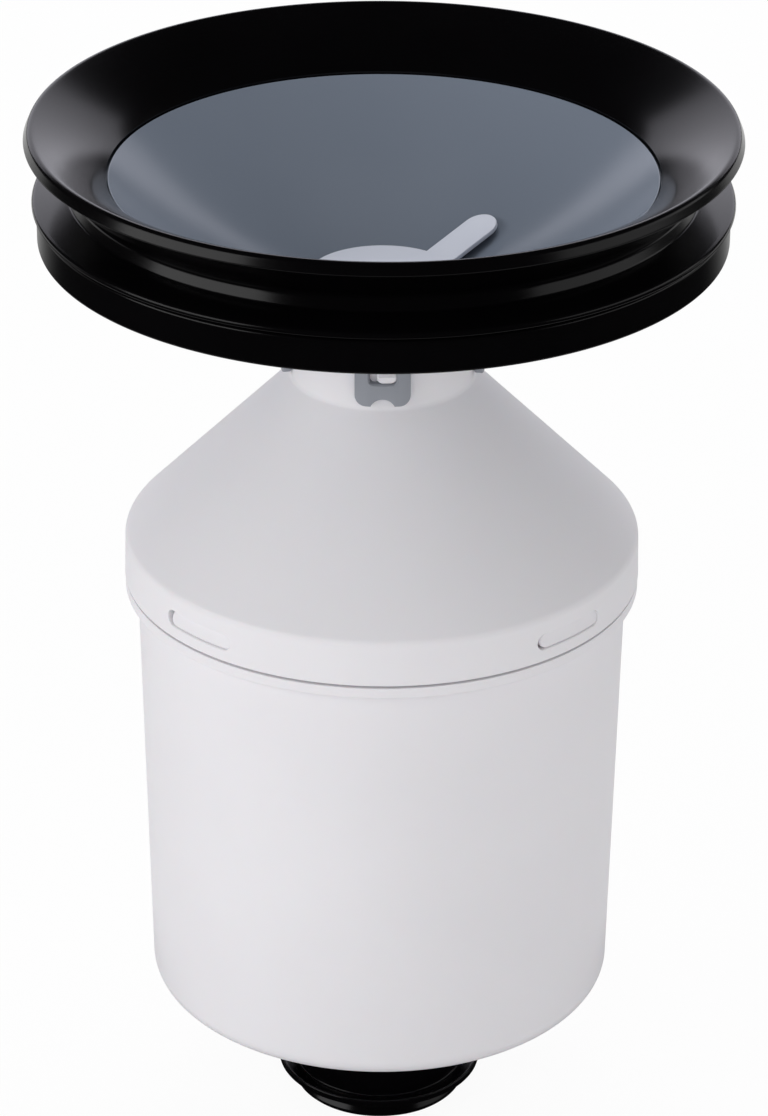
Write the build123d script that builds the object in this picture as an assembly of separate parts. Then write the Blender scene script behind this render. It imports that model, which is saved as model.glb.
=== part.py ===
from build123d import *

import os
from math import atan2, cos, degrees, radians, sqrt, tan

# Odour trap for a urinal waste: funnel with a lip seal on top, white bell trap, sealed outlet below.
# Millimetres, +Z up, origin on the axis at the outlet end, the front of the trap faces -Y.

# Outlet pipe and its lip seal
outlet_length = 26.0
pipe_radius = 13.5
pipe_wall = 2.0
pipe_bare_length = 11.0
seal_end_web = 1.5
seal_sleeve_wall = 1.8
seal_stretch_gap = 0.05
lead_lip_width = 0.57
lead_lip_height = 1.0
outlet_lip_spacing = 1.7
main_lip_width = 3.64
main_lip_rise = 1.75
main_lip_land = 1.5

# Dip bell and standpipe
water_seal = 50.0
water_annulus = 10.5
bell_wall = 1.8
bell_lift = 8.0
bell_rounding = 3.6
crown_clearance = 12.0
crown_slope = 10.0
bell_fin_count = 4
bell_fin_thickness = 1.6
bell_fin_height = 20.0
bell_fin_gap = 0.4

# Cup
cup_radius = 44.2
cup_head_room = 9.9
cup_draft = 1.25
cup_wall = 2.4
cup_floor = 2.4
cup_base_rounding = 3.4
cup_flange_width = 2.1
cup_flange_height = 1.9
cup_flange_rounding = 0.8
cup_rim_step = 0.5

# Flat gasket on the cup's rim
gasket_thickness = 1.6
gasket_inset = 0.2

# Cover: skirt, cone and neck
seam_gap = 0.5
skirt_clearance = 0.3
skirt_wall = 2.2
skirt_flare = 0.2
skirt_height = 8.1
ledge_drop = 0.6
shoulder_rounding = 2.0
cone_angle = 45.8
cone_wall = 2.4
neck_radius = 16.4
neck_wall = 2.1
neck_height = 14.4
neck_rounding = 1.5

# Snap windows in the skirt and lugs on the cup
snap_count = 4
snap_azimuth = -44.3
window_width = 15.6
window_height = 3.0
snap_clearance = 0.2
snap_play = 1.5
snap_lug_drop = 0.9
snap_lug_reach = 2.55
snap_lug_ramp = 0.6

# Ring in the groove of the funnel's spigot
ring_section = 1.8
ring_depth = 5.0
ring_gap = 0.03
ring_groove_play = 0.2

# Funnel: dish, throat, spigot and rim flange
dish_radius = 48.0
dish_depth = 21.45
dish_curve = 88.0
dish_wall = 2.0
dish_floor = 1.9
dish_land_width = 2.2
spigot_length = 15.0
spigot_wall = 1.5
spigot_clearance = 0.3
flange_drop = 1.25
flange_thickness = 2.0
flange_width = 4.1

# Snap tongues of the funnel and lugs on the neck
tongue_count = 4
tongue_azimuth = -90.0
tongue_width = 10.1
tongue_thickness = 1.6
tongue_clearance = 0.2
tongue_end_gap = 1.1
tongue_corner = 2.0
tongue_notch_width = 4.7
tongue_notch_height = 1.4
tongue_window_width = 4.9
tongue_window_height = 5.4
tongue_window_corner = 0.8
tongue_bar = 4.3
tongue_play = 1.7
neck_lug_height = 3.6
neck_lug_face = 1.2
neck_lug_corner = 1.0
neck_lug_gap = 0.15

# Drain cover: disc, raised arm and feet
disc_overhang = 0.3
cover_plate = 1.0
cover_lift = 1.1
arm_azimuth = 39.8
arm_width = 6.6
arm_length = 8.9
arm_gap = 0.8
foot_count = 3
foot_thickness = 1.2
foot_depth = 5.0
foot_width = 3.4
foot_gap = 0.3

# Inlet lip seal, its widths counted from the flange and its levels from the flange's top
top_lip_rise = 9.25
top_lip_width = 8.85
top_lip_edge = 1.8
top_lip_curve = 32.0
toe_gap = 0.3
groove_gap = 0.3
core_wall = 1.15
core_rise = 2.4
core_depth = 7.6
core_rounding = 1.5
step_width = 1.5
step_drop = 0.8
middle_lip_width = 6.2
middle_lip_drop = 2.2
middle_lip_edge = 0.9
lip_notch_depth = 4.0
lip_notch_gap = 0.7
band_width = 5.4
band_depth = 9.8
band_thickness = 2.2
band_recess = 3.4
jaw_inset = 2.4
jaw_thickness = 2.0
edge_rounding = 0.4

# Levels and radii worked out from the sizes above
cup_base_z = outlet_length
cup_floor_z = cup_base_z + cup_floor
bell_rim_z = cup_floor_z + bell_lift
standpipe_top_z = bell_rim_z + water_seal
crown_z = standpipe_top_z + crown_clearance
cup_shoulder_z = crown_z + cup_head_room
skirt_edge_z = cup_shoulder_z + seam_gap
cone_base_z = skirt_edge_z + skirt_height
ledge_z = cone_base_z - ledge_drop
cup_rim_z = ledge_z - gasket_thickness
snap_lug_height = window_height - 2 * snap_clearance
window_z = cup_rim_z - snap_lug_drop - snap_lug_height / 2

pipe_bore = pipe_radius - pipe_wall
cup_taper = tan(radians(cup_draft))
cup_base_radius = cup_radius - (cup_shoulder_z - cup_base_z) * cup_taper
cup_base_bore = cup_base_radius - cup_wall
bell_radius = cup_base_bore - water_annulus
cup_rim_radius = cup_radius - cup_rim_step
cup_rim_bore = cup_rim_radius - cup_wall
skirt_bore = cup_rim_radius + skirt_clearance
skirt_radius = skirt_bore + skirt_wall
cone_rise = tan(radians(cone_angle))
cone_wall_drop = cone_wall / cos(radians(cone_angle))

neck_base_z = cone_base_z + (skirt_radius - neck_radius) * cone_rise
neck_top_z = neck_base_z + neck_height
neck_bore = neck_radius - neck_wall
spigot_radius = neck_bore - spigot_clearance
ring_z = neck_top_z - ring_depth
ring_groove_radius = neck_bore - ring_section - 2 * ring_gap
throat_radius = ring_groove_radius - spigot_wall
tongue_bore = neck_radius + tongue_clearance
tongue_radius = tongue_bore + tongue_thickness
tongue_end_z = neck_base_z + tongue_end_gap
tongue_length = neck_top_z - tongue_end_z
tongue_window_z = tongue_end_z + tongue_bar

dish_land_z = neck_top_z + dish_floor
dish_land_radius = throat_radius + dish_land_width
dish_rim_z = dish_land_z + dish_depth
flange_top_z = dish_rim_z - flange_drop
flange_bottom_z = flange_top_z - flange_thickness
flange_radius = dish_radius + flange_width
rim_z = dish_rim_z + top_lip_rise


def turned(section):
    """Revolve a face drawn in radius and height about the upright axis."""
    return revolve(Plane.XZ * section, Axis.Z)


def path(*corners, close=False):
    """Line through (radius, height) corners; a third number rounds that corner."""
    points = [corner[:2] for corner in corners]
    rounding = [corner[2] if len(corner) > 2 else 0 for corner in corners]
    return FilletPolyline(*points, radius=rounding if close else rounding[1:-1], close=close)


def outline(*corners):
    """Closed face through (radius, height) corners."""
    return make_face(path(*corners, close=True))


def blade(thickness, *corners):
    """Upright rib through (radius, height) corners, centred on the +X side."""
    return extrude(Plane.XZ * outline(*corners), thickness / 2, both=True)


def facing(azimuth, radius, height):
    """Plane that looks outwards at an azimuth, its x level and its y upright."""
    turned_plane = Plane.XY.rotated((0, 0, azimuth))
    out = turned_plane.x_dir
    return Plane(origin=out * radius + Vector(0, 0, height), x_dir=turned_plane.y_dir, z_dir=out)


def around(count, start):
    """Azimuths of evenly spaced copies."""
    return [start + 360 * step / count for step in range(count)]


def cone_z(radius):
    """Height of the cone's outer face at a radius."""
    return cone_base_z + (skirt_radius - radius) * cone_rise


def dish_centre():
    """Centre of the dish's arc, which is hollow upwards from the land to the rim."""
    chord = Vector(dish_radius - dish_land_radius, dish_rim_z - dish_land_z)
    middle = Vector(dish_radius + dish_land_radius, dish_rim_z + dish_land_z) / 2
    sagging = sqrt(dish_curve**2 - (chord.length / 2) ** 2)
    return middle + Vector(-chord.Y, chord.X).normalized() * sagging


def dish_z(radius, curve=dish_curve):
    """Height of the dish's upper face at a radius, or of an arc about the same centre."""
    centre = dish_centre()
    return centre.Y - sqrt(curve**2 - (radius - centre.X) ** 2)


def make_outlet_lip_seal():
    """Rubber sleeve on the pipe: its end web, a lead-in lip and the main lip."""
    sleeve_bore = pipe_radius + seal_stretch_gap
    sleeve_radius = sleeve_bore + seal_sleeve_wall
    sleeve_top_z = outlet_length - pipe_bare_length
    lead_radius = sleeve_radius + lead_lip_width
    lead_edge = lead_lip_height / 2
    main_radius = sleeve_radius + main_lip_width
    lip_root_z = lead_lip_height + outlet_lip_spacing
    lip_z = lip_root_z + main_lip_rise
    return turned(
        outline(
            (pipe_bore, 0),
            (lead_radius - lead_edge, 0),
            (lead_radius, lead_edge),
            (lead_radius, lead_lip_height),
            (sleeve_radius, lead_lip_height + outlet_lip_spacing / 2),
            (sleeve_radius, lip_root_z),
            (main_radius, lip_z),
            (main_radius, lip_z + main_lip_land),
            (sleeve_radius, lip_z),
            (sleeve_radius, sleeve_top_z, seal_sleeve_wall / 2),
            (sleeve_bore, sleeve_top_z),
            (sleeve_bore, seal_end_web),
            (pipe_bore, seal_end_web),
        )
    )


def make_trap_cup():
    """Drafted cup with a flange under the seam, snap lugs at its rim and the pipes through its floor."""
    flange_low_z = cup_shoulder_z - cup_flange_height
    flange_radius = cup_radius + cup_flange_width
    cup = turned(
        outline(
            (pipe_bore, seal_end_web),
            (pipe_radius, seal_end_web),
            (pipe_radius, cup_base_z),
            (cup_base_radius, cup_base_z, cup_base_rounding),
            (cup_radius - cup_flange_height * cup_taper, flange_low_z),
            (flange_radius, flange_low_z, cup_flange_rounding),
            (flange_radius, cup_shoulder_z),
            (cup_rim_radius, cup_shoulder_z),
            (cup_rim_radius, cup_rim_z),
            (cup_rim_bore, cup_rim_z),
            (cup_rim_bore, cup_shoulder_z),
            (cup_base_bore, cup_floor_z, cup_base_rounding - cup_wall),
            (pipe_radius, cup_floor_z),
            (pipe_radius, standpipe_top_z),
            (pipe_bore, standpipe_top_z),
        )
    )
    lug_low_z = window_z - snap_lug_height / 2
    lug_top_z = window_z + snap_lug_height / 2
    lug_radius = cup_rim_radius + snap_lug_reach
    ramp = turned(
        outline(
            (cup_rim_bore, lug_low_z),
            (lug_radius, lug_low_z),
            (lug_radius - snap_lug_ramp, lug_top_z),
            (cup_rim_bore, lug_top_z),
        )
    )
    lug_width = window_width - snap_play
    shift = snap_play / 2 - snap_clearance
    for azimuth in around(snap_count, snap_azimuth):
        face = facing(azimuth, cup_rim_bore + cup_wall / 2, window_z)
        pill = face * Pos(shift, 0) * SlotOverall(lug_width, snap_lug_height)
        cup += extrude(pill, cup_wall + snap_lug_reach, dir=face.z_dir) & ramp
    return cup


def make_dip_bell():
    """Bell over the standpipe, standing on fins that also centre it on the pipe."""
    crown_top_z = crown_z + bell_radius * tan(radians(crown_slope))
    bell_bore = bell_radius - bell_wall
    bell = turned(
        outline(
            (bell_bore, bell_rim_z),
            (bell_radius, bell_rim_z),
            (bell_radius, crown_z, bell_rounding),
            (0, crown_top_z),
            (0, crown_top_z - bell_wall),
            (bell_bore, crown_z - bell_wall, bell_rounding - bell_wall),
        )
    )
    fin_bore = pipe_radius + bell_fin_gap
    fin_top_z = bell_rim_z + bell_fin_height
    fin = blade(
        bell_fin_thickness,
        (fin_bore, cup_floor_z),
        (bell_radius, cup_floor_z),
        (bell_radius, bell_rim_z),
        (bell_radius - bell_wall / 2, fin_top_z),
        (fin_bore, fin_top_z),
    )
    for azimuth in around(bell_fin_count, 0):
        bell += Rot(0, 0, azimuth) * fin
    return bell


def make_rim_gasket():
    """Flat ring pressed between the cup's rim and the cover's ledge."""
    return turned(
        outline(
            (cup_rim_bore + gasket_inset, cup_rim_z),
            (cup_rim_radius - gasket_inset, cup_rim_z),
            (cup_rim_radius - gasket_inset, ledge_z),
            (cup_rim_bore + gasket_inset, ledge_z),
        )
    )


def make_trap_cover():
    """Cone with a windowed skirt that snaps over the cup and a neck with lugs for the funnel."""
    cover = turned(
        outline(
            (neck_bore, neck_top_z),
            (neck_radius, neck_top_z),
            (neck_radius, neck_base_z, neck_rounding),
            (skirt_radius, cone_base_z, shoulder_rounding),
            (skirt_radius + skirt_flare, skirt_edge_z),
            (skirt_bore, skirt_edge_z),
            (skirt_bore, ledge_z),
            (cup_rim_bore, ledge_z),
            (cup_rim_bore, cone_z(cup_rim_bore) - cone_wall_drop),
            (neck_bore, cone_z(neck_bore) - cone_wall_drop),
        )
    )
    for azimuth in around(snap_count, snap_azimuth):
        face = facing(azimuth, cup_rim_bore, window_z)
        pill = face * SlotOverall(window_width, window_height)
        cover -= extrude(pill, 2 * (cup_wall + skirt_wall), dir=face.z_dir)

    lug_low_z = tongue_window_z + neck_lug_gap
    lug_top_z = lug_low_z + neck_lug_height
    lug_root = neck_radius - neck_wall / 2
    lug_radius = tongue_radius - neck_lug_gap
    ramp = turned(
        outline(
            (lug_root, lug_low_z),
            (lug_radius, lug_low_z),
            (lug_radius, lug_low_z + neck_lug_face),
            (neck_radius, lug_top_z),
            (lug_root, lug_top_z),
        )
    )
    lug_width = tongue_window_width - tongue_play
    plate = Rectangle(lug_width, neck_lug_height)
    plate = fillet(plate.vertices().sort_by(Axis.Y)[:2], neck_lug_corner)
    shift = tongue_play / 2 - neck_lug_gap
    for azimuth in around(tongue_count, tongue_azimuth):
        face = facing(azimuth, neck_bore, (lug_low_z + lug_top_z) / 2)
        shape = face * Pos(shift, 0) * plate
        cover += extrude(shape, 2 * (lug_radius - neck_bore), dir=face.z_dir) & ramp
    return cover


def make_neck_o_ring():
    """Ring in the spigot's groove, squeezed against the bore of the neck."""
    middle_radius = neck_bore - ring_gap - ring_section / 2
    return turned(Pos(middle_radius, ring_z) * Circle(ring_section / 2))


def make_inlet_funnel():
    """Dish with a rim flange, a spigot inside the neck and windowed tongues outside it."""
    land = (dish_land_radius, dish_land_z)
    rim = (dish_radius, dish_rim_z)
    centre = dish_centre()
    under_curve = dish_curve + dish_wall
    flange_root = centre.X + sqrt(under_curve**2 - (flange_bottom_z - centre.Y) ** 2)
    middle_radius = (flange_root + tongue_radius) / 2
    under_middle = (middle_radius, dish_z(middle_radius, under_curve))
    boss_top = (tongue_radius, dish_z(tongue_radius, under_curve))
    groove_low_z = ring_z - ring_section / 2 - ring_groove_play
    groove_top_z = ring_z + ring_section / 2 + ring_groove_play
    spigot_end_z = neck_top_z - spigot_length
    dish = RadiusArc(land, rim, -dish_curve)
    flange = path(
        rim,
        (dish_radius, flange_top_z),
        (flange_radius, flange_top_z),
        (flange_radius, flange_bottom_z),
        (flange_root, flange_bottom_z),
    )
    underside = ThreePointArc((flange_root, flange_bottom_z), under_middle, boss_top)
    spigot = path(
        boss_top,
        (tongue_radius, neck_top_z),
        (spigot_radius, neck_top_z),
        (spigot_radius, groove_top_z),
        (ring_groove_radius, groove_top_z),
        (ring_groove_radius, groove_low_z),
        (spigot_radius, groove_low_z),
        (spigot_radius, spigot_end_z),
        (throat_radius, spigot_end_z),
        (throat_radius, dish_land_z),
        land,
    )
    funnel = turned(make_face(dish + flange + underside + spigot))

    root = (boss_top[1] - neck_top_z) / 2
    shell = turned(
        outline(
            (tongue_bore, tongue_end_z),
            (tongue_radius, tongue_end_z),
            (tongue_radius, neck_top_z + root),
            (tongue_bore, neck_top_z + root),
        )
    )
    blank_length = tongue_length + root + tongue_corner
    blank = Pos(0, blank_length / 2) * RectangleRounded(tongue_width, blank_length, tongue_corner)
    notch = Pos(0, tongue_notch_height - tongue_notch_width / 2) * Circle(tongue_notch_width / 2)
    window_middle = tongue_bar + tongue_window_height / 2
    opening = RectangleRounded(tongue_window_width, tongue_window_height, tongue_window_corner)
    window = Pos(0, window_middle) * opening
    for azimuth in around(tongue_count, tongue_azimuth):
        face = facing(azimuth, neck_bore, tongue_end_z)
        shape = face * (blank - notch - window)
        funnel += extrude(shape, 2 * (tongue_radius - neck_bore), dir=face.z_dir) & shell
    return funnel


def make_drain_cover():
    """Thin disc on feet over the throat, with one arm that rises along the dish."""
    disc_radius = dish_land_radius + disc_overhang
    under_z = dish_land_z + cover_lift
    cover = Pos(0, 0, under_z) * extrude(Circle(disc_radius), cover_plate)
    foot_radius = throat_radius - foot_gap
    foot = blade(
        foot_thickness,
        (foot_radius - 2 * foot_width, under_z + cover_plate / 2),
        (dish_land_radius - foot_gap, under_z + cover_plate / 2),
        (dish_land_radius - foot_gap, dish_land_z),
        (foot_radius, dish_land_z),
        (foot_radius, dish_land_z - foot_depth),
        (foot_radius - foot_width, dish_land_z - foot_depth),
    )
    for azimuth in around(foot_count, arm_azimuth):
        cover += Rot(0, 0, azimuth) * foot

    bend_radius = disc_radius - cover_plate
    arm_end = disc_radius + arm_length
    tip_radius = arm_end + arm_width / 2
    climb = dish_z(tip_radius) + arm_gap - under_z
    tilt = degrees(atan2(climb, tip_radius - bend_radius))
    bar_length = (arm_end - bend_radius) / cos(radians(tilt))
    bar = Pos((bar_length - cover_plate) / 2, 0) * Rectangle(bar_length + cover_plate, arm_width)
    bar += Pos(bar_length, 0) * Circle(arm_width / 2)
    bend = Rot(0, 0, arm_azimuth) * Pos(bend_radius, 0, under_z) * Rot(0, -tilt, 0)
    return cover + bend * extrude(bar, cover_plate)


def make_inlet_lip_seal():
    """Rubber collar gripping the funnel's flange: flared top lip, thin middle lip, lower band."""
    toe_radius = dish_radius + toe_gap
    groove_radius = flange_radius + groove_gap
    jaw_radius = groove_radius - jaw_inset
    core_radius = groove_radius + core_wall
    step_radius = core_radius + step_width
    middle_radius = step_radius + middle_lip_width
    notch_radius = middle_radius - lip_notch_depth
    band_radius = step_radius + band_width
    band_bore = band_radius - band_thickness
    nose_radius = core_radius + top_lip_width
    edge_radius = nose_radius - top_lip_edge / 2
    middle_z = flange_top_z - middle_lip_drop
    notch_top_z = middle_z - middle_lip_edge
    band_top_z = notch_top_z - lip_notch_gap
    band_bottom_z = flange_top_z - band_depth
    recess_z = band_bottom_z + band_recess
    core_bottom_z = flange_top_z - core_depth
    toe = (toe_radius, dish_rim_z + toe_gap)
    top_edge = (edge_radius, rim_z)
    under_edge = (edge_radius, rim_z - top_lip_edge)
    flare = RadiusArc(toe, top_edge, top_lip_curve)
    nose = ThreePointArc(top_edge, (nose_radius, rim_z - top_lip_edge / 2), under_edge)
    body = path(
        under_edge,
        (core_radius, flange_top_z + core_rise, core_rounding),
        (step_radius, flange_top_z - step_drop),
        (middle_radius, middle_z, edge_rounding),
        (middle_radius, notch_top_z, edge_rounding),
        (notch_radius, (notch_top_z + band_top_z) / 2),
        (band_radius, band_top_z, edge_rounding),
        (band_radius, band_bottom_z, edge_rounding),
        (band_bore, band_bottom_z),
        (band_bore, recess_z),
        (step_radius, recess_z),
        (step_radius, core_bottom_z),
        (groove_radius, core_bottom_z),
        (jaw_radius, flange_bottom_z - jaw_thickness),
        (jaw_radius, flange_bottom_z),
        (groove_radius, flange_bottom_z),
        (groove_radius, flange_top_z),
        (toe_radius, flange_top_z),
        toe,
    )
    return turned(make_face(flare + nose + body))


parts = {
    "outlet_lip_seal": make_outlet_lip_seal,
    "trap_cup": make_trap_cup,
    "dip_bell": make_dip_bell,
    "rim_gasket": make_rim_gasket,
    "trap_cover": make_trap_cover,
    "neck_o_ring": make_neck_o_ring,
    "inlet_funnel": make_inlet_funnel,
    "drain_cover": make_drain_cover,
    "inlet_lip_seal": make_inlet_lip_seal,
}

os.makedirs("parts", exist_ok=True)
for name, make in parts.items():
    export_step(make(), f"parts/{name}.step")
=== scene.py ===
from math import acos, asin, atan2, cos, pi, radians, sin, sqrt, tan

import bmesh
import bpy
from mathutils import Matrix, Vector


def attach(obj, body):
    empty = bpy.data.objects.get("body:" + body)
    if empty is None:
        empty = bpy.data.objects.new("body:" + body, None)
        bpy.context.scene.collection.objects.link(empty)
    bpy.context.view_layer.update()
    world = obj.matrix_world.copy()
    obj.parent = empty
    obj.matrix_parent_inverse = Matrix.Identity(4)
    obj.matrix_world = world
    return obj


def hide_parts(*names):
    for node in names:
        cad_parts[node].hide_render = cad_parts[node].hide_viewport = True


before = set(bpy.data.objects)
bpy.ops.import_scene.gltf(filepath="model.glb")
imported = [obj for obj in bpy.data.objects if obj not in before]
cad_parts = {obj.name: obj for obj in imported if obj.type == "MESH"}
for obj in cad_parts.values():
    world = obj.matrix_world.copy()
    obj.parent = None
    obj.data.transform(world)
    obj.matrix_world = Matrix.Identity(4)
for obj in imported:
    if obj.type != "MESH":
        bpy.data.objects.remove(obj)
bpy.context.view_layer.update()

# Trap cup: the white drafted cup that holds the water, with a small flange under the seam and the
# outlet pipe and standpipe through its floor. Injection moulded polypropylene in one shot; four
# ramped lugs at its rim snap into the windows of the cover.
MM = 0.001

pipe_radius = 13.5
pipe_bore = 11.5
seal_end_web = 1.5
cup_base_z = 26.0
cup_base_rounding = 3.4
cup_shoulder_z = 108.3
cup_radius = 44.2
cup_taper = tan(radians(1.25))
cup_flange_radius = 46.3
cup_flange_height = 1.9
cup_flange_rounding = 0.12
cup_rim_radius = 43.7
cup_rim_z = 114.7
cup_wall = 2.4
standpipe_top_z = 86.4
pipe_fillet = 1.2
moulded_edge = 0.3
flange_edge = 0.15
shell_segments = 320
turning_radius = 1.0

snap_count = 4
snap_start = radians(-44.3)
snap_z = 112.5
window_width = 15.6
window_height = 3.0
snap_clearance = 0.1
snap_play = 1.2
snap_lug_reach = 2.55
snap_lug_ramp = 0.6
lug_edge = 0.25


class Wire:
    """One output of a node tree; arithmetic on it adds Math nodes."""

    def __init__(self, tree, socket=None):
        self.tree = tree
        self.socket = socket

    def add(self, kind, settings=None, inputs=None, output=0):
        """New node: its settings first, then the values or links of its inputs."""
        node = self.tree.nodes.new(kind)
        for name, value in (settings or {}).items():
            setattr(node, name, value)
        for key, value in (inputs or {}).items():
            for one in value if isinstance(value, list) else [value]:
                if isinstance(one, Wire):
                    self.tree.links.new(one.socket, node.inputs[key])
                else:
                    node.inputs[key].default_value = one
        return Wire(self.tree, node.outputs[output])

    def math(self, operation, first, second=0.0):
        return self.add("ShaderNodeMath", {"operation": operation}, {0: first, 1: second})

    def __add__(self, other):
        return self.math("ADD", self, other)

    def __radd__(self, other):
        return self.math("ADD", other, self)

    def __sub__(self, other):
        return self.math("SUBTRACT", self, other)

    def __rsub__(self, other):
        return self.math("SUBTRACT", other, self)

    def __mul__(self, other):
        return self.math("MULTIPLY", self, other)

    def __rmul__(self, other):
        return self.math("MULTIPLY", other, self)

    def __truediv__(self, other):
        return self.math("DIVIDE", self, other)

    def __rtruediv__(self, other):
        return self.math("DIVIDE", other, self)


def new_tree(name, **inputs):
    """Geometry node tree with named inputs, and a wire from each of them."""
    tree = bpy.data.node_groups.new(name, "GeometryNodeTree")
    for label, kind in inputs.items():
        tree.interface.new_socket(name=label, in_out="INPUT", socket_type="NodeSocket" + kind)
    tree.interface.new_socket(name="Result", in_out="OUTPUT", socket_type="NodeSocketGeometry")
    given = tree.nodes.new("NodeGroupInput")
    return tree, [Wire(tree, given.outputs[label]) for label in inputs]


def close_tree(shape, finish):
    """Ends a tree with plain geometry in one material."""
    plain = shape.add("GeometryNodeRealizeInstances", inputs={"Geometry": shape})
    painted = shape.add("GeometryNodeSetMaterial", inputs={"Geometry": plain, "Material": finish})
    result = shape.tree.nodes.new("NodeGroupOutput")
    shape.tree.links.new(painted.socket, result.inputs["Result"])


def grown(mesh, tree, **values):
    """Plain mesh that a node tree makes of a start mesh."""
    holder = bpy.data.objects.new("holder", mesh)
    bpy.context.collection.objects.link(holder)
    modifier = holder.modifiers.new("grow", "NODES")
    modifier.node_group = tree
    for item in tree.interface.items_tree:
        if item.in_out == "INPUT" and item.name in values:
            modifier[item.identifier] = values[item.name]
    evaluated = holder.evaluated_get(bpy.context.evaluated_depsgraph_get())
    result = bpy.data.meshes.new_from_object(evaluated)
    bpy.data.objects.remove(holder)
    return result


turning_tree, (profile, segments, finish) = new_tree(
    "turned_shell", Profile="Geometry", Segments="Int", Finish="Material"
)
turning_circle = profile.add(
    "GeometryNodeCurvePrimitiveCircle",
    {"mode": "RADIUS"},
    {"Resolution": segments, "Radius": turning_radius * MM},
)
turning_profile = profile.add("GeometryNodeMeshToCurve", inputs={"Mesh": profile})
turned_wall = profile.add(
    "GeometryNodeCurveToMesh", inputs={"Curve": turning_circle, "Profile Curve": turning_profile}
)
close_tree(turned_wall, finish)

ring_tree, (shell, copy, count, start, cut, finish) = new_tree(
    "ring_of_copies",
    Shell="Geometry",
    Copy="Object",
    Count="Int",
    Start="Float",
    Cut="Bool",
    Finish="Material",
)
ring_place = shell.add("GeometryNodeInputIndex") / count * (2 * pi) + start
ring_turn = shell.add("ShaderNodeCombineXYZ", inputs={"Z": ring_place})
ring_copies = shell.add(
    "GeometryNodeInstanceOnPoints",
    inputs={
        "Points": shell.add("GeometryNodePoints", inputs={"Count": count}),
        "Instance": shell.add("GeometryNodeObjectInfo", inputs={"Object": copy}, output="Geometry"),
        "Rotation": shell.add("FunctionNodeEulerToRotation", inputs={"Euler": ring_turn}),
    },
)
ring_solid = shell.add("GeometryNodeRealizeInstances", inputs={"Geometry": ring_copies})
ring_fused = shell.add(
    "GeometryNodeMeshBoolean",
    {"operation": "UNION", "solver": "MANIFOLD"},
    {"Mesh 2": [shell, ring_solid]},
)
ring_cut = shell.add(
    "GeometryNodeMeshBoolean",
    {"operation": "DIFFERENCE", "solver": "MANIFOLD"},
    {"Mesh 1": shell, "Mesh 2": ring_solid},
)
ring_chosen = shell.add(
    "GeometryNodeSwitch",
    {"input_type": "GEOMETRY"},
    {"Switch": cut, "False": ring_fused, "True": ring_cut},
)
close_tree(ring_chosen, finish)


def rounded(*corners, steps=6):
    """Closed line in mm through (across, up) corners; a third number rounds that corner.

    A point held close beside each rounding keeps the wall beyond it flat in the shading.
    """
    line = []
    hold = 0.15
    befores = corners[-1:] + corners[:-1]
    afters = corners[1:] + corners[:1]
    for before, corner, after in zip(befores, corners, afters):
        here = Vector(corner[:2])
        if len(corner) < 3 or not corner[2]:
            line.append(here)
            continue
        back = Vector(before[:2]) - here
        onward = Vector(after[:2]) - here
        back_way = back.normalized()
        onward_way = onward.normalized()
        half = back.angle(onward) / 2
        reach = corner[2] / tan(half)
        centre = here + (back_way + onward_way).normalized() * corner[2] / sin(half)
        first = here + back_way * reach - centre
        last = here + onward_way * reach - centre
        turn = atan2(first.x * last.y - first.y * last.x, first.dot(last))
        if reach + hold < back.length / 2:
            line.append(here + back_way * (reach + hold))
        for step in range(steps + 1):
            line.append(centre + Matrix.Rotation(turn * step / steps, 2) @ first)
        if reach + hold < onward.length / 2:
            line.append(here + onward_way * (reach + hold))
    return line


def tidy(mesh, weld=0.002 * MM):
    """Merges doubles and turns every face outwards."""
    work = bmesh.new()
    work.from_mesh(mesh)
    bmesh.ops.remove_doubles(work, verts=work.verts, dist=weld)
    bmesh.ops.recalc_face_normals(work, faces=work.faces)
    work.to_mesh(mesh)
    work.free()
    return mesh


def turned(line, material):
    """Shell made by turning a closed line of (radius, height) in mm about the upright axis."""
    mesh = bpy.data.meshes.new("profile")
    points = [((radius - turning_radius) * MM, -height * MM, 0) for radius, height in line]
    mesh.from_pydata(points, [(i, (i + 1) % len(points)) for i in range(len(points))], [])
    return tidy(grown(mesh, turning_tree, Segments=shell_segments, Finish=material))


def block(columns, levels, place):
    """Closed block with soft edges: columns(inset) of (across, ups) at levels of (out, inset)."""
    points = []
    for out, inset in levels:
        points += [place(across, up, out) for across, ups in columns(inset) for up in ups]
    wide = len(columns(0))
    tall = len(columns(0)[0][1])
    rim = [(i, 0) for i in range(wide)]
    rim += [(wide - 1, j) for j in range(1, tall)]
    rim += [(i, tall - 1) for i in range(wide - 2, -1, -1)]
    rim += [(0, j) for j in range(tall - 2, 0, -1)]

    def corner(level, i, j):
        return level * wide * tall + i * tall + j

    faces = []
    for level in (0, len(levels) - 1):
        for i in range(wide - 1):
            for j in range(tall - 1):
                cell = ((i, j), (i + 1, j), (i + 1, j + 1), (i, j + 1))
                faces.append([corner(level, *spot) for spot in cell])
    for level in range(len(levels) - 1):
        for one, two in zip(rim, rim[1:] + rim[:1]):
            near = [corner(level, *one), corner(level, *two)]
            far = [corner(level + 1, *two), corner(level + 1, *one)]
            faces.append(near + far)
    mesh = bpy.data.meshes.new("block")
    mesh.from_pydata(points, [], faces)
    return tidy(mesh)


def wrapped(bend):
    """Place for a block that is bent round the axis: across runs along a circle of that radius."""

    def place(across, up, out):
        turn = across / bend
        return out * cos(turn) * MM, out * sin(turn) * MM, up * MM

    return place


def quarter(steps):
    """Angles of a quarter turn, in even steps."""
    return [pi / 2 * k / steps for k in range(steps + 1)]


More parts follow.
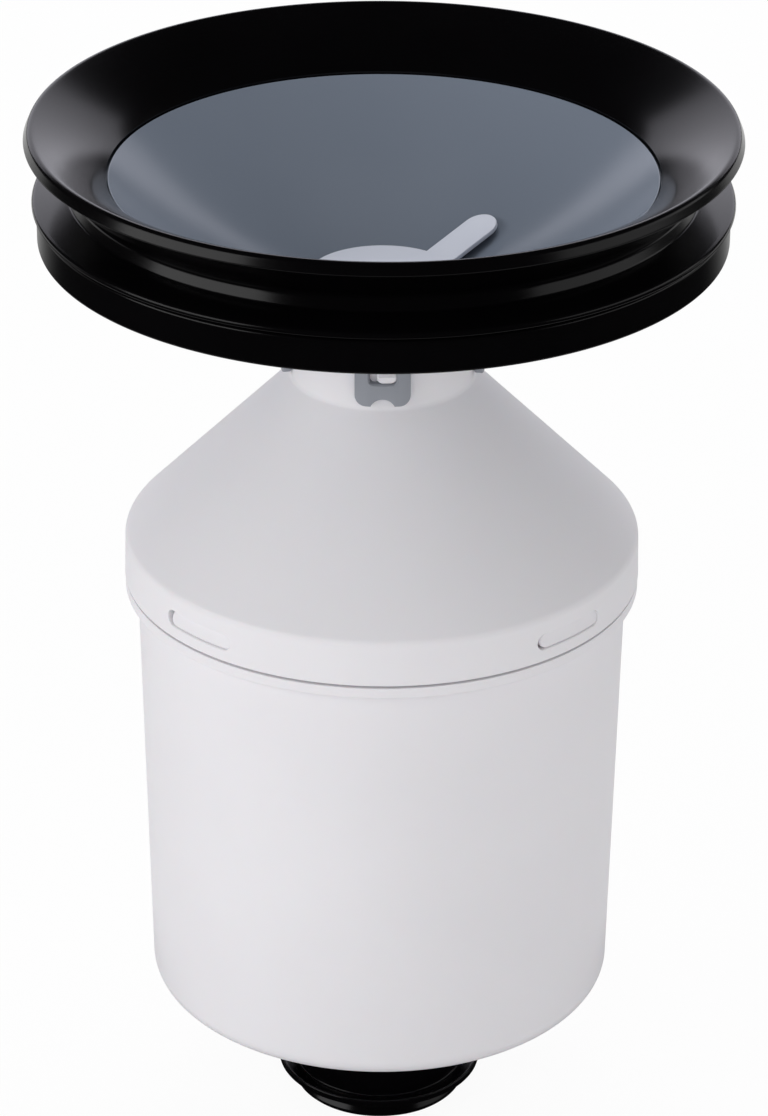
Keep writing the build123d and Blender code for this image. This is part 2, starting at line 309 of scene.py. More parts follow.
def pill(width, height, middle, shift=0.0, steps=8):
    """Columns of a slot with round ends."""

    def columns(inset):
        end = height / 2 - inset
        reach = width / 2 - height / 2
        ends = [(reach + end * cos(t), end * sin(t)) for t in quarter(steps)]
        right = ends + [(reach * k / steps, end) for k in range(steps - 1, 0, -1)]
        row = [(-across, half) for across, half in right] + [(0, end)] + right[::-1]
        return [(shift + across, (middle - half, middle + half)) for across, half in row]

    return columns


def ringed(mesh, copy, count, start, material, cut=False):
    """Shell with copies of a block fused to it, or cut out of it, evenly round the axis."""
    tool = bpy.data.objects.new("copy", copy)
    bpy.context.collection.objects.link(tool)
    values = {"Copy": tool, "Count": count, "Start": start, "Cut": cut, "Finish": material}
    result = grown(mesh, ring_tree, **values)
    bpy.data.objects.remove(tool)
    return result


def piece(name, mesh, node, corner_angle=radians(32)):
    """Finished piece that stands for a CAD node, smooth except at its corners."""
    mesh.shade_smooth()
    mesh.set_sharp_from_angle(angle=corner_angle)
    made = bpy.data.objects.new(name, mesh)
    bpy.context.collection.objects.link(made)
    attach(made, "root")
    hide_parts(node)
    return made


def finish_of(name, **constant):
    """New material with one shader, its constant sockets set, and a first wire."""
    material = bpy.data.materials.new(name)
    material.use_nodes = True
    shader = material.node_tree.nodes["Principled BSDF"]
    for label, value in constant.items():
        shader.inputs[label.replace("_", " ")].default_value = value
    return material, shader, Wire(material.node_tree)


def feed(shader, **wires):
    """Links what changes over the surface to the shader's sockets."""
    for label, wire in wires.items():
        wire.tree.links.new(wire.socket, shader.inputs[label.replace("_", " ")])


def cloud(wire, spot, size, detail=3.0, roughness=0.5):
    """Noise from 0 to 1 with blotches of about that size in mm."""
    return wire.add(
        "ShaderNodeTexNoise",
        inputs={"Vector": spot, "Scale": 1 / (size * MM), "Detail": detail, "Roughness": roughness},
    )


def tint(wire, amount, first, second):
    """Colour between two by an amount; the first may be a wire."""
    ground = first if isinstance(first, Wire) else (*first, 1)
    return wire.add(
        "ShaderNodeMix",
        {"data_type": "RGBA"},
        {"Factor": amount, "A": ground, "B": (*second, 1)},
        output="Result",
    )


def dimpled(wire, height, strength, depth=0.02 * MM):
    """Fine relief of a moulded skin, for the shader's normal."""
    return wire.add(
        "ShaderNodeBump", inputs={"Strength": strength, "Distance": depth, "Height": height}
    )


def white_plastic():
    """Satin polypropylene with a faint moulded grain and cloudy flow."""
    material, shader, wire = finish_of(
        "white_polypropylene",
        Specular_IOR_Level=0.25,
        Subsurface_Weight=0.06,
        Subsurface_Scale=1.2 * MM,
    )
    spot = wire.add("ShaderNodeTexCoord", output="Object")
    flow = cloud(wire, spot, 34, 4.0)
    grain = cloud(wire, spot, 0.55, 2.0)
    feed(
        shader,
        Base_Color=tint(wire, flow, (0.752, 0.738, 0.766), (0.802, 0.788, 0.816)),
        Roughness=0.36 + flow * 0.1 + grain * 0.06,
        Normal=dimpled(wire, grain, 0.12),
    )
    return material


white = white_plastic()
cup_bore = cup_rim_radius - cup_wall
cup_floor_z = cup_base_z + cup_wall
cup_base_radius = cup_radius - (cup_shoulder_z - cup_base_z) * cup_taper
cup_flange_low = cup_shoulder_z - cup_flange_height
cup_line = rounded(
    (pipe_bore, seal_end_web, moulded_edge),
    (pipe_radius, seal_end_web, moulded_edge),
    (pipe_radius, cup_base_z, pipe_fillet),
    (cup_base_radius, cup_base_z, cup_base_rounding),
    (cup_radius - cup_flange_height * cup_taper, cup_flange_low, moulded_edge),
    (cup_flange_radius, cup_flange_low, cup_flange_rounding),
    (cup_flange_radius, cup_shoulder_z, flange_edge),
    (cup_rim_radius, cup_shoulder_z, moulded_edge),
    (cup_rim_radius, cup_rim_z, moulded_edge),
    (cup_bore, cup_rim_z, moulded_edge),
    (cup_bore, cup_shoulder_z),
    (cup_base_radius - cup_wall, cup_floor_z, cup_base_rounding - cup_wall),
    (pipe_radius, cup_floor_z, pipe_fillet),
    (pipe_radius, standpipe_top_z, moulded_edge),
    (pipe_bore, standpipe_top_z, moulded_edge),
    steps=10,
)
snap_lug_height = window_height - 2 * snap_clearance
snap_lug_low = snap_z - snap_lug_height / 2
snap_face = cup_rim_radius + snap_lug_reach


def lug_place(across, up, out):
    """Cup lugs lean back towards the top so that the skirt rides over them."""
    lean = snap_lug_ramp * (up - snap_lug_low) / snap_lug_height
    return wrapped(cup_rim_radius)(across, up, out - lean)


snap_lug = block(
    pill(window_width - snap_play, snap_lug_height, snap_z, snap_play / 2 - snap_clearance),
    [(cup_rim_radius - cup_wall / 3, 0), (snap_face - lug_edge, 0), (snap_face, lug_edge)],
    lug_place,
)
cup_mesh = ringed(turned(cup_line, white), snap_lug, snap_count, snap_start, white)
piece("trap_cup_shell", cup_mesh, "trap_cup")

# Outlet lip seal: the black rubber sleeve stretched over the outlet pipe, with a wide lip that
# seals in the waste pipe and a small lead-in lip at its end. Moulded rubber, held by its own grip.
seal_bore = pipe_radius + 0.05
sleeve_radius = seal_bore + 1.8
sleeve_top_z = 15.0
lead_lip_radius = sleeve_radius + 0.57
lead_lip_height = 1.0
main_lip_root_z = 2.7
main_lip_z = 4.45
main_lip_radius = sleeve_radius + 3.64
main_lip_land = 1.5
main_lip_rounding = 0.4
main_lip_crook = 0.3
lead_lip_edge = 0.15
sleeve_edge = 0.2
sleeve_top_rounding = 0.9


def black_rubber():
    """Dense black rubber with a soft shine, a fine skin and a little bloom."""
    material, shader, wire = finish_of("black_rubber", IOR=1.25)
    spot = wire.add("ShaderNodeTexCoord", output="Object")
    bloom = cloud(wire, spot, 22, 5.0, 0.6)
    skin = cloud(wire, spot, 0.8, 3.0)
    feed(
        shader,
        Base_Color=tint(wire, bloom, (0.0009, 0.0008, 0.001), (0.0018, 0.0016, 0.002)),
        Roughness=0.13 + bloom * 0.08 + skin * 0.03,
        Normal=dimpled(wire, skin, 0.03),
    )
    return material


rubber = black_rubber()
outlet_seal_line = rounded(
    (pipe_bore, 0, sleeve_edge),
    (lead_lip_radius - lead_lip_height / 2, 0, sleeve_edge),
    (lead_lip_radius, lead_lip_height / 2, sleeve_edge),
    (lead_lip_radius, lead_lip_height, lead_lip_edge),
    (sleeve_radius, (lead_lip_height + main_lip_root_z) / 2, sleeve_edge),
    (sleeve_radius, main_lip_root_z, sleeve_edge),
    (main_lip_radius, main_lip_z, main_lip_rounding),
    (main_lip_radius, main_lip_z + main_lip_land, main_lip_rounding),
    (sleeve_radius, main_lip_z, main_lip_crook),
    (sleeve_radius, sleeve_top_z, sleeve_top_rounding),
    (seal_bore, sleeve_top_z),
    (seal_bore, seal_end_web),
    (pipe_bore, seal_end_web),
)
piece("outlet_lip_seal_ring", turned(outlet_seal_line, rubber), "outlet_lip_seal")

# Dip bell: the white bell over the standpipe that makes the water seal. Moulded polypropylene;
# it stands loose on four fins, which also centre it on the pipe.
bell_radius = cup_base_radius - cup_wall - 10.5
bell_wall = 1.8
bell_rim_z = cup_floor_z + 8.0
bell_crown_z = standpipe_top_z + 12.0
bell_rounding = 3.6
bell_slope = radians(10)
bell_peak_z = bell_crown_z + bell_radius * tan(bell_slope)
fin_count = 4
fin_bore = pipe_radius + 0.4
fin_top_z = bell_rim_z + 20.0
fin_thickness = 1.6
fin_slant_start = 0.3
fin_edge = 0.2
axis_radius = 0.01

bell_line = rounded(
    (bell_radius - bell_wall, bell_rim_z, moulded_edge),
    (bell_radius, bell_rim_z, moulded_edge),
    (bell_radius, bell_crown_z, bell_rounding),
    (axis_radius, bell_peak_z),
    (axis_radius, bell_peak_z - bell_wall),
    (bell_radius - bell_wall, bell_crown_z - bell_wall, bell_rounding - bell_wall),
    steps=8,
)


def fin_columns(inset):
    """Upright blade from the standpipe to the bell's wall."""
    wall = bell_radius - bell_wall
    stations = (fin_bore + inset, wall - fin_slant_start, bell_radius - bell_wall / 2)
    tops = (fin_top_z, fin_top_z, fin_top_z - bell_wall)
    return [(radius, (cup_floor_z + inset, top - inset)) for radius, top in zip(stations, tops)]


def upright(across, up, out):
    """Place for a blade that stands in the plane of the axis."""
    return across * MM, out * MM, up * MM


def blade_levels(thickness, edge):
    """Levels of a blade whose edges are broken on both faces."""
    half = thickness / 2
    return [(-half, edge), (edge - half, 0), (half - edge, 0), (half, edge)]


bell_fin = block(fin_columns, blade_levels(fin_thickness, fin_edge), upright)
bell_mesh = ringed(turned(bell_line, white), bell_fin, fin_count, 0.0, white)
piece("dip_bell_shell", bell_mesh, "dip_bell")

# Rim gasket: the flat rubber ring pressed between the rim of the cup and the ledge of the cover.
# Punched from sheet rubber; the CAD node itself is shown, in the rubber of the seals.
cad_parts["rim_gasket"].material_slots[0].material = rubber

# Trap cover: the white cone with a neck for the funnel and a skirt that snaps over the cup.
# Moulded polypropylene; four pill-shaped windows in the skirt take the cup's lugs, and four
# ramped lugs on the neck hold the funnel's tongues.
skirt_edge_z = cup_shoulder_z + 0.5
skirt_bore = 44.0
skirt_radius = 46.2
skirt_flare = 0.2
cone_base_z = 116.9
ledge_z = 116.3
cone_angle = radians(45.8)
shoulder_rounding = 2.0
neck_radius = 16.4
neck_bore = 14.3
neck_rounding = 1.5
neck_base_z = cone_base_z + (skirt_radius - neck_radius) * tan(cone_angle)
neck_top_z = neck_base_z + 14.4
chamber_rounding = 1.0
cone_end_rounding = 0.5
ledge_corner = 0.2
window_edge = 0.15
window_depth = 1.0

neck_lug_count = 4
neck_lug_start = radians(-90)
tongue_window_width = 4.9
tongue_play = 1.7
neck_lug_gap = 0.15
neck_lug_height = 3.6
neck_lug_face = 1.2
neck_lug_corner = 1.0
neck_lug_root = 0.4
neck_lug_runout = 0.1
tongue_end_z = neck_base_z + 1.1
tongue_window_low = tongue_end_z + 4.3
tongue_radius = neck_radius + 1.8
neck_lug_low = tongue_window_low + neck_lug_gap


def cone_under(radius):
    """Height of the cone's inner face at a radius."""
    return cone_base_z + (skirt_radius - radius) * tan(cone_angle) - cup_wall / cos(cone_angle)


cover_line = rounded(
    (neck_bore, neck_top_z, moulded_edge),
    (neck_bore, cone_under(neck_bore), chamber_rounding),
    (cup_bore, cone_under(cup_bore), cone_end_rounding),
    (cup_bore, ledge_z, moulded_edge),
    (skirt_bore, ledge_z, ledge_corner),
    (skirt_bore, skirt_edge_z, moulded_edge),
    (skirt_radius + skirt_flare, skirt_edge_z, flange_edge),
    (skirt_radius, cone_base_z, shoulder_rounding),
    (neck_radius, neck_base_z, neck_rounding),
    (neck_radius, neck_top_z, moulded_edge),
    steps=10,
)
window_face = skirt_radius + skirt_flare * (cone_base_z - snap_z) / (cone_base_z - skirt_edge_z)
window_cutter = block(
    pill(window_width, window_height, snap_z),
    [
        (skirt_bore - window_depth, 0),
        (window_face - window_edge, 0),
        (window_face - window_edge / 3, -window_edge / 4),
        (window_face + window_edge / 3, -window_edge),
    ],
    wrapped(skirt_radius),
)


def round_foot(half, corner, steps=6):
    """Foot with round corners: (across, low) from its left side to its right side."""
    right = [(half - corner + corner * cos(t), corner * (1 - sin(t))) for t in quarter(steps)]
    return [(-across, low) for across, low in right] + right[::-1]


def neck_lug_columns(inset):
    """Lug with round lower corners; its face is plumb below and ramps in above."""
    row = round_foot((tongue_window_width - tongue_play) / 2 - inset, neck_lug_corner - inset)
    shift = tongue_play / 2 - neck_lug_gap
    face = neck_lug_low + neck_lug_face
    top = neck_lug_low + neck_lug_height
    return [(shift + across, (neck_lug_low + inset + low, face, top)) for across, low in row]


def neck_lug_place(across, up, out):
    """Above its face the lug runs in to the neck."""
    ramp = (up - neck_lug_low - neck_lug_face) / (neck_lug_height - neck_lug_face)
    reach = neck_lug_out - neck_radius + neck_lug_runout
    return wrapped(neck_radius)(across, up, out - reach * max(0.0, ramp))


neck_lug_out = tongue_radius - neck_lug_gap
neck_lug = block(
    neck_lug_columns,
    [(neck_radius - neck_lug_root, 0), (neck_lug_out - lug_edge, 0), (neck_lug_out, lug_edge)],
    neck_lug_place,
)
cover_mesh = turned(cover_line, white)
cover_mesh = ringed(cover_mesh, window_cutter, snap_count, snap_start, white, cut=True)
cover_mesh = ringed(cover_mesh, neck_lug, neck_lug_count, neck_lug_start, white)
piece("trap_cover_shell", cover_mesh, "trap_cover")

# Neck ring: the rubber ring in the groove of the funnel's spigot, squeezed against the neck.
# The CAD node itself is shown, in the rubber of the seals.
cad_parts["neck_o_ring"].material_slots[0].material = rubber

# Inlet funnel: the blue-grey dish that leads the water to the throat, with a flange for the lip
# seal, a spigot inside the neck and four windowed tongues that clip over the neck's lugs.
# Moulded in one shot from a polished tool, so the dish is glossy.
dish_land_radius = 13.14
dish_land_z = neck_top_z + 1.9
dish_radius = 48.0
dish_rim_z = dish_land_z + 21.45
dish_curve = 88.0
dish_wall = 2.0
throat_radius = 10.94
spigot_radius = 14.0
spigot_end_z = neck_top_z - 15.0
flange_top_z = dish_rim_z - 1.25
flange_bottom_z = flange_top_z - 2.0
flange_radius = 52.1
ring_groove_radius = 12.44
ring_groove_low = neck_top_z - 6.1
ring_groove_top = neck_top_z - 3.9
dish_rim_edge = 0.1
flange_rounding = 0.4
spigot_corner = 0.2
throat_rounding = 0.4

tongue_count = 4
tongue_bore = neck_radius + 0.2
tongue_width = 10.1
tongue_corner = 2.0
tongue_notch_radius = 2.35
tongue_notch_height = 1.4
tongue_window_height = 5.4
tongue_window_corner = 0.8
tongue_window_depth = 1.0
tongue_edge = 0.3
tongue_face = tongue_radius - 0.04


def grey_plastic():
    """Blue-grey plastic with a soft flow, glossy in the dish and matte on the tongues, which are
    painted lighter.
    """
    material, shader, wire = finish_of("blue_grey_plastic", Specular_IOR_Level=0.25)
    spot = wire.add("ShaderNodeTexCoord", output="Object")
    flow = cloud(wire, spot, 40, 4.0)
    skin = cloud(wire, spot, 7, 2.0)
    height = wire.add("ShaderNodeSeparateXYZ", inputs={0: spot}, output="Z")
    matt_and_painted_light = wire.math("LESS_THAN", height, neck_top_z * MM)
    # Below the neck's top the tongues get their real matte finish, and their colour is painted
    # lighter and greyer: painted light on the tongues, which lie under the collar's overhang.
    gloss_colour = tint(wire, flow, (0.147, 0.172, 0.216), (0.164, 0.190, 0.235))
    feed(
        shader,
        Base_Color=tint(wire, matt_and_painted_light * 0.35, gloss_colour, (0.5, 0.49, 0.5)),
        Roughness=0.19 + flow * 0.06 + skin * 0.03 + matt_and_painted_light * 0.26,
        Normal=dimpled(wire, skin, 0.05),
    )
    return material


def bow_centre(first, last, radius):
    """Centre of the arc from first up to last, above it where the radius is positive."""
    first, last = Vector(first), Vector(last)
    chord = last - first
    side = Vector((-chord.y, chord.x)).normalized() * (1 if radius > 0 else -1)
    return (first + last) / 2 + side * sqrt(radius**2 - chord.length_squared / 4)


def bow(first, last, radius, steps=24):
    """Points of that arc, which is hollow upwards where the radius is positive."""
    centre = bow_centre(first, last, radius)
    spoke = Vector(first) - centre
    turn = 2 * asin((Vector(last) - Vector(first)).length / 2 / radius)
    turns = [Matrix.Rotation(turn * step / steps, 2) for step in range(steps + 1)]
    return [tuple(centre + spin @ spoke) for spin in turns]


grey = grey_plastic()
dish_foot = (dish_land_radius, dish_land_z)
dish_rim = (dish_radius, dish_rim_z)
dish_bow = bow(dish_foot, dish_rim, dish_curve)
dish_centre = bow_centre(dish_foot, dish_rim, dish_curve)
under_curve = dish_curve + dish_wall
flange_root = dish_centre.x + sqrt(under_curve**2 - (flange_bottom_z - dish_centre.y) ** 2)
boss_top_z = dish_centre.y - sqrt(under_curve**2 - (tongue_radius - dish_centre.x) ** 2)
under_bow = bow((tongue_radius, boss_top_z), (flange_root, flange_bottom_z), under_curve)
funnel_line = rounded(
    *dish_bow[:-1],
    (*dish_rim, dish_rim_edge),
    (dish_radius, flange_top_z, spigot_corner),
    (flange_radius, flange_top_z, flange_rounding),
    (flange_radius, flange_bottom_z, flange_rounding),
    *under_bow[::-1],
    (tongue_radius, neck_top_z, moulded_edge),
    (spigot_radius, neck_top_z, spigot_corner),
    (spigot_radius, ring_groove_top, spigot_corner),
    (ring_groove_radius, ring_groove_top, spigot_corner),
    (ring_groove_radius, ring_groove_low, spigot_corner),
    (spigot_radius, ring_groove_low, spigot_corner),
    (spigot_radius, spigot_end_z, moulded_edge),
    (throat_radius, spigot_end_z, moulded_edge),
    (throat_radius, dish_land_z, throat_rounding),
)


def tongue_columns(inset, steps=8):
    """Tongue with round lower corners and a round notch in the middle of its end."""
    foot_row = round_foot(tongue_width / 2 - inset, tongue_corner - inset, steps)
    row = [(across, inset + low) for across, low in foot_row]
    notch = tongue_notch_radius + inset
    drop = tongue_notch_radius - tongue_notch_height
    swing = acos((drop + inset) / notch)
    turns = [swing * k / steps for k in range(-steps, steps + 1)]
    row[steps + 1 : steps + 1] = [(notch * sin(t), notch * cos(t) - drop) for t in turns]
    top = neck_top_z + (boss_top_z - neck_top_z) / 2
    return [(across, (tongue_end_z + low, top)) for across, low in row]


def tongue_window_columns(inset):
    """Window in the tongue, with round corners."""
    row = round_foot(tongue_window_width / 2 - inset, tongue_window_corner - inset)
    low_end = tongue_window_low + inset
    high_end = tongue_window_low + tongue_window_height - inset
    return [(across, (low_end + low, high_end - low)) for across, low in row]


tongue = block(
    tongue_columns,
    [
        (tongue_bore, tongue_edge / 2),
        (tongue_bore + tongue_edge / 2, 0),
        (tongue_face - tongue_edge, 0),
        (tongue_face - tongue_edge / 4, tongue_edge / 3),
        (tongue_face, tongue_edge),
    ],
    wrapped(tongue_radius),
)
tongue_cutter = block(
    tongue_window_columns,
    [
        (tongue_bore - tongue_window_depth, 0),
        (tongue_face - tongue_edge, 0),
        (tongue_face + tongue_edge / 2, -tongue_edge),
    ],
    wrapped(tongue_radius),
)
funnel_mesh = turned(funnel_line, grey)
funnel_mesh = ringed(funnel_mesh, tongue, tongue_count, neck_lug_start, grey)
funnel_mesh = ringed(funnel_mesh, tongue_cutter, tongue_count, neck_lug_start, grey, cut=True)
piece("inlet_funnel_dish", funnel_mesh, "inlet_funnel")

# Drain cover: the pale plate that lies over the throat, a thin disc on three feet with one arm
# that rises along the dish, by which it is lifted out. Moulded in a pale grey plastic.
disc_radius = dish_land_radius + 0.3
plate = 1.0
disc_under_z = dish_land_z + 1.1
plate_edge = 0.25
arm_azimuth = radians(39.8)
arm_width = 6.6
arm_end_radius = disc_radius + 8.9
arm_bend_radius = disc_radius - plate
arm_gap = 0.8
arm_bevel = (0.07, 0.08)
foot_count = 3
foot_thickness = 1.2
foot_depth = 5.0
foot_width = 3.4
foot_play = 0.3
foot_edge = 0.15


def pale_plastic():
    """Satin pale grey plastic with a fine eroded grain."""
    material, shader, wire = finish_of("pale_grey_plastic", Specular_IOR_Level=0.4)
    spot = wire.add("ShaderNodeTexCoord", output="Object")
    flow = cloud(wire, spot, 12, 4.0)
    grain = cloud(wire, spot, 0.4, 2.0)
    feed(
        shader,
        Base_Color=tint(wire, flow, (0.615, 0.642, 0.735), (0.655, 0.682, 0.77)),
        Roughness=0.42 + grain * 0.12,
        Normal=dimpled(wire, grain, 0.15),
    )
    return material


pale = pale_plastic()
disc_line = rounded(
    (axis_radius, disc_under_z),
    (disc_radius, disc_under_z, plate_edge),
    (disc_radius, disc_under_z + plate, plate_edge),
    (axis_radius, disc_under_z + plate),
)
arm_tip_radius = arm_end_radius + arm_width / 2
dish_at_tip = dish_centre.y - sqrt(dish_curve**2 - (arm_tip_radius - dish_centre.x) ** 2)
arm_tilt = atan2(dish_at_tip + arm_gap - disc_under_z, arm_tip_radius - arm_bend_radius)
arm_length = (arm_end_radius - arm_bend_radius) / cos(arm_tilt)


def arm_columns(inset, steps=12):
    """Straight bar with a round end."""
    half = arm_width / 2 - inset
    tip = [(arm_length + half * cos(t), half * sin(t)) for t in quarter(steps)[::-1]]
    row = [(-plate, half), (0, half), (arm_length / 2, half)] + tip
    return [(along, (-side, side)) for along, side in row]


def arm_place(along, side, up):
    """The arm leaves the disc at its bend and climbs along the dish."""
    out = arm_bend_radius + along * cos(arm_tilt) - up * sin(arm_tilt)
    rise = disc_under_z + along * sin(arm_tilt) + up * cos(arm_tilt)
    return out * MM, side * MM, rise * MM


arm = block(
    arm_columns,
    [
        (0, plate_edge),
        (plate_edge, 0),
        (plate - plate_edge, 0),
        (plate - arm_bevel[0], arm_bevel[1]),
        (plate, plate_edge),
    ],
    arm_place,
)


def foot_columns(inset):
    """Blade in the throat with a shoulder that stands on the dish's land."""
    outer = throat_radius - foot_play
    end_z = dish_land_z - foot_depth
    top = disc_under_z + plate / 2
    stations = (outer - foot_width + inset, outer - inset, dish_land_radius - foot_play)
    lows = (end_z, end_z, dish_land_z)
    return [(radius, (low + inset, top)) for radius, low in zip(stations, lows)]


foot = block(foot_columns, blade_levels(foot_thickness, foot_edge), upright)
drain_mesh = ringed(turned(disc_line, pale), arm, 1, arm_azimuth, pale)
drain_mesh = ringed(drain_mesh, foot, foot_count, arm_azimuth, pale)
piece("drain_cover_plate", drain_mesh, "drain_cover")

# Inlet lip seal: the black rubber collar that grips the funnel's flange and seals in the waste
# hole, with a flared top lip, a thin middle lip and a lower band. Moulded rubber, stretched on.
rim_z = dish_rim_z + 9.25
nose_radius = 62.4
edge_lean = radians(22)
edge_height = 2.2
edge_crown = 0.24
edge_rounding = 0.9
edge_swell = 0.045
edge_foot_rounding = 0.2
toe_radius = dish_radius + 0.3
toe_z = dish_rim_z + 0.3
top_lip_curve = 32.0
groove_radius = flange_radius + 0.3
jaw_radius = groove_radius - 2.4
jaw_height = 2.0
jaw_edge = 0.3
core_radius = groove_radius + 1.5
core_z = flange_top_z + 1.5
core_rounding = 1.2
step_radius = core_radius + 1.15
step_z = flange_top_z - 0.95
step_rounding = 0.5
middle_lip_radius = step_radius + 6.2
middle_lip_z = flange_top_z - 2.2
middle_lip_edge = 0.9
middle_lip_rounding = 0.8
middle_lip_arris = 0.15
notch_radius = middle_lip_radius - 4.0
notch_rounding = 0.1
band_radius = step_radius + 5.4
band_top_z = middle_lip_z - middle_lip_edge - 0.7
band_bottom_z = flange_top_z - 9.8
band_bore = band_radius - 2.2
band_top_rounding = 0.6
band_edge = 0.4
recess_z = band_bottom_z + 3.4
core_bottom_z = flange_top_z - 7.6

edge_top = (nose_radius - edge_height * tan(edge_lean), rim_z + edge_crown)
flare = bow((toe_radius, toe_z), edge_top, -top_lip_curve)
collar_line = rounded(
    *flare[:-2],
    (*edge_top, edge_rounding),
    (nose_radius + edge_swell, edge_top[1] - edge_height, edge_foot_rounding),
    (core_radius, core_z, core_rounding),
    (step_radius, step_z, step_rounding),
    (middle_lip_radius, middle_lip_z, middle_lip_rounding),
    (middle_lip_radius, middle_lip_z - middle_lip_edge, middle_lip_arris),
    (notch_radius, (middle_lip_z - middle_lip_edge + band_top_z) / 2, notch_rounding),
    (band_radius, band_top_z, band_top_rounding),
    (band_radius, band_bottom_z, band_edge),
    (band_bore, band_bottom_z, band_edge),
    (band_bore, recess_z, band_edge),
    (step_radius, recess_z, band_edge),
    (step_radius, core_bottom_z, band_edge),
    (groove_radius, core_bottom_z, band_edge),
    (jaw_radius, flange_bottom_z - jaw_height, band_edge),
    (jaw_radius, flange_bottom_z, jaw_edge),
    (groove_radius, flange_bottom_z),
    (groove_radius, flange_top_z),
    (toe_radius, flange_top_z),
)
piece("inlet_lip_seal_collar", turned(collar_line, rubber), "inlet_lip_seal")

# Studio: a plain white floor, soft panels to the left, the right and behind, fills in front and
# above, and the camera about three quarters of a metre in front, looking down on the trap.
floor_size = 6.0
floor_grey = 0.8
floor_shown = 0.94
# What the gloss of the trap mirrors of the floor is painted: a painted reflection, dark in front
# and bright far behind, with a painted pool of light round the foot and a painted shadow close to
# the foot.
painted_dark_floor_end = 0.25
painted_bright_floor_start = 0.55
painted_shadow_radius = 0.08
painted_pool_start = 0.26
painted_pool_end = 0.34
painted_pool_level = 0.8
full_white = (1.0, 1.0, 1.0)
mirrored_dark = (0.02, 0.02, 0.02)


def white_floor():
    """White ground that keeps the shadow; what is seen of it directly reads as white.

    In the gloss of the trap it is a painted reflection: bright far behind and in a painted pool of
    light round the foot, with a painted shadow right at the foot, and dark elsewhere.
    """
    base = (floor_grey, floor_grey, floor_grey, 1)
    material, shader, wire = finish_of(
        "white_floor", Base_Color=base, Roughness=0.9, Specular_IOR_Level=0.0
    )
    light = wire.tree.nodes.new("ShaderNodeLightPath")
    seen = Wire(wire.tree, light.outputs["Is Camera Ray"])
    glossy = Wire(wire.tree, light.outputs["Is Glossy Ray"])
    through = Wire(wire.tree, light.outputs["Is Transmission Ray"])
    plain = wire.math("MAXIMUM", seen, through)
    spot = wire.add("ShaderNodeTexCoord", output="Object")
    depth = wire.add("ShaderNodeSeparateXYZ", inputs={0: spot}, output="Y")
    # Painted reflection: the floor far behind glows bright in the gloss only.
    painted_bright_behind = wire.add(
        "ShaderNodeMapRange",
        {"interpolation_type": "SMOOTHSTEP"},
        {"Value": depth, "From Min": painted_dark_floor_end, "From Max": painted_bright_floor_start},
    )
    # Painted pool of light in a ring round the foot, seen in the gloss only.
    away = wire.add("ShaderNodeVectorMath", {"operation": "LENGTH"}, {0: spot}, output="Value")
    painted_pool = wire.add(
        "ShaderNodeMapRange",
        {"interpolation_type": "SMOOTHSTEP"},
        {"Value": away, "From Min": painted_pool_end, "From Max": painted_pool_start},
    )
    # Close to the foot the pool is cut away: a painted shadow in the floor's reflection.
    painted_pool = wire.math("GREATER_THAN", away, painted_shadow_radius) * painted_pool
    painted_lit = wire.math("MAXIMUM", painted_bright_behind, painted_pool * painted_pool_level)
    level = tint(wire, wire.math("MAXIMUM", plain, painted_lit), mirrored_dark, full_white)
    glow = wire.add("ShaderNodeEmission", inputs={"Color": level, "Strength": 1.0})
    ground = Wire(wire.tree, shader.outputs["BSDF"])
    shown = wire.math("MAXIMUM", plain * floor_shown, glossy)
    mixed = wire.add("ShaderNodeMixShader", inputs={0: shown, 1: ground, 2: glow})
    wire.tree.links.new(mixed.socket, wire.tree.nodes["Material Output"].inputs["Surface"])
    return material


floor_mesh = bpy.data.meshes.new("floor")
half = floor_size / 2
floor_corners = [(-half, -half, 0), (half, -half, 0), (half, half, 0), (-half, half, 0)]
floor_mesh.from_pydata(floor_corners, [], [(0, 1, 2, 3)])
floor_mesh.materials.append(white_floor())
floor = bpy.data.objects.new("studio_floor", floor_mesh)
bpy.context.collection.objects.link(floor)


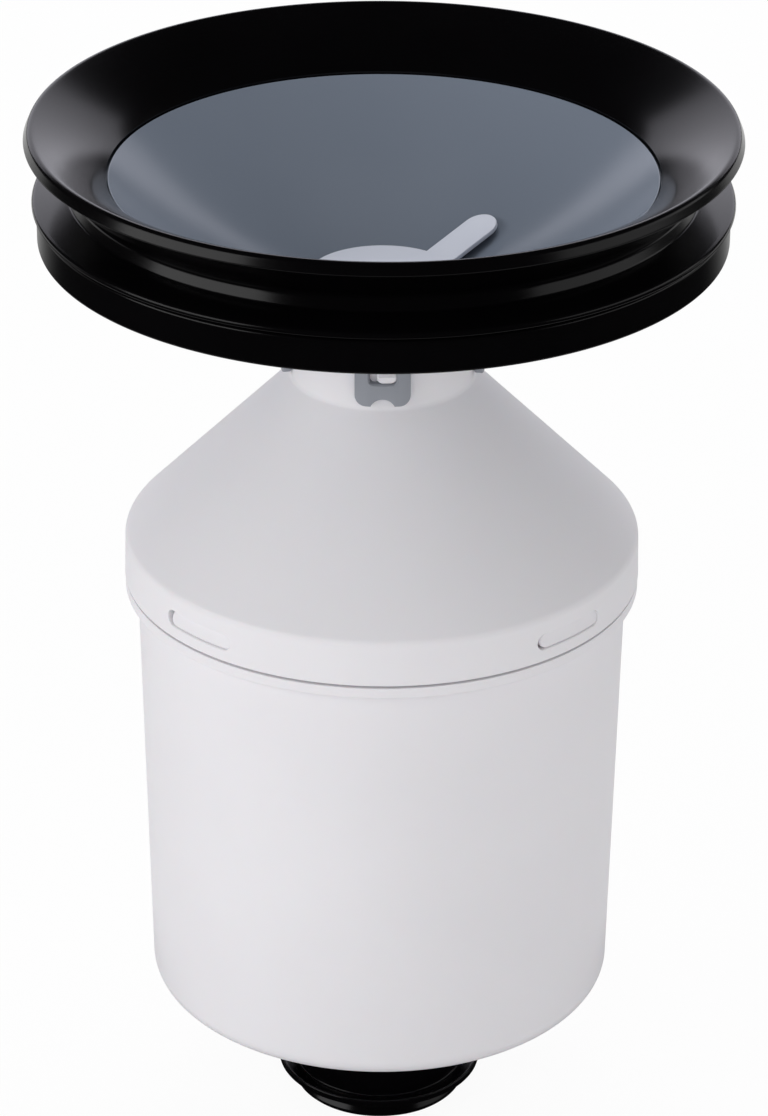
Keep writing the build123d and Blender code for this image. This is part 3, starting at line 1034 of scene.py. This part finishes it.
def softbox(name, place, aim, width, height, power, mirrored=True, colour=full_white):
    """Soft panel that faces a point; a fill isn't mirrored in what it lights."""
    lamp = bpy.data.lights.new(name, "AREA")
    lamp.shape = "RECTANGLE"
    lamp.size = width
    lamp.size_y = height
    lamp.energy = power
    lamp.color = colour
    panel = bpy.data.objects.new(name, lamp)
    panel.location = place
    panel.rotation_euler = (Vector(aim) - Vector(place)).to_track_quat("-Z", "Y").to_euler()
    panel.visible_glossy = mirrored
    bpy.context.collection.objects.link(panel)


middle = (0, 0, 0.12)
softbox("left_panel", (-1.17, -0.545, 0.62), middle, 1.1, 0.6, 8.0)
softbox("front_panel", (0.0, -1.29, 0.57), middle, 2.0, 0.7, 6.5, mirrored=False)
softbox("right_panel", (1.27, -0.06, 0.6), middle, 1.6, 0.5, 3.8)
softbox("back_panel", (0.0, 1.29, 0.57), middle, 2.2, 0.7, 8.4, colour=(0.92, 0.91, 1.0))
softbox("high_panel", (0.0, 0.45, 1.45), middle, 0.9, 0.7, 7.8, mirrored=False)

sky_light = (0.3, 0.3, 0.3)
world = bpy.data.worlds.new("studio")
bpy.context.scene.world = world
world.use_nodes = True
sky = Wire(world.node_tree)
sky_path = sky.tree.nodes.new("ShaderNodeLightPath")
sky_seen = Wire(sky.tree, sky_path.outputs["Is Camera Ray"])
sky_through = Wire(sky.tree, sky_path.outputs["Is Transmission Ray"])
sky_mirrored = Wire(sky.tree, sky_path.outputs["Is Glossy Ray"])
sky_level = tint(sky, sky_mirrored, sky_light, mirrored_dark)
sky_level = tint(sky, sky.math("MAXIMUM", sky_seen, sky_through), sky_level, full_white)
sky.tree.links.new(sky_level.socket, sky.tree.nodes["Background"].inputs["Color"])
bpy.context.scene.view_settings.view_transform = "Standard"

camera_place = (0.00041, -0.76, 0.4943)
camera_pitch = radians(26.811)
camera_roll = radians(0.33)
camera = bpy.data.cameras.new("camera")
camera.sensor_fit = "VERTICAL"
camera.sensor_height = 36
camera.lens = 151.76
stand = bpy.data.objects.new("camera", camera)
stand.matrix_world = (
    Matrix.Translation(camera_place)
    @ Matrix.Rotation(pi / 2 - camera_pitch, 4, "X")
    @ Matrix.Rotation(camera_roll, 4, "Z")
)
bpy.context.collection.objects.link(stand)
bpy.context.scene.camera = stand

bpy.context.view_layer.update()
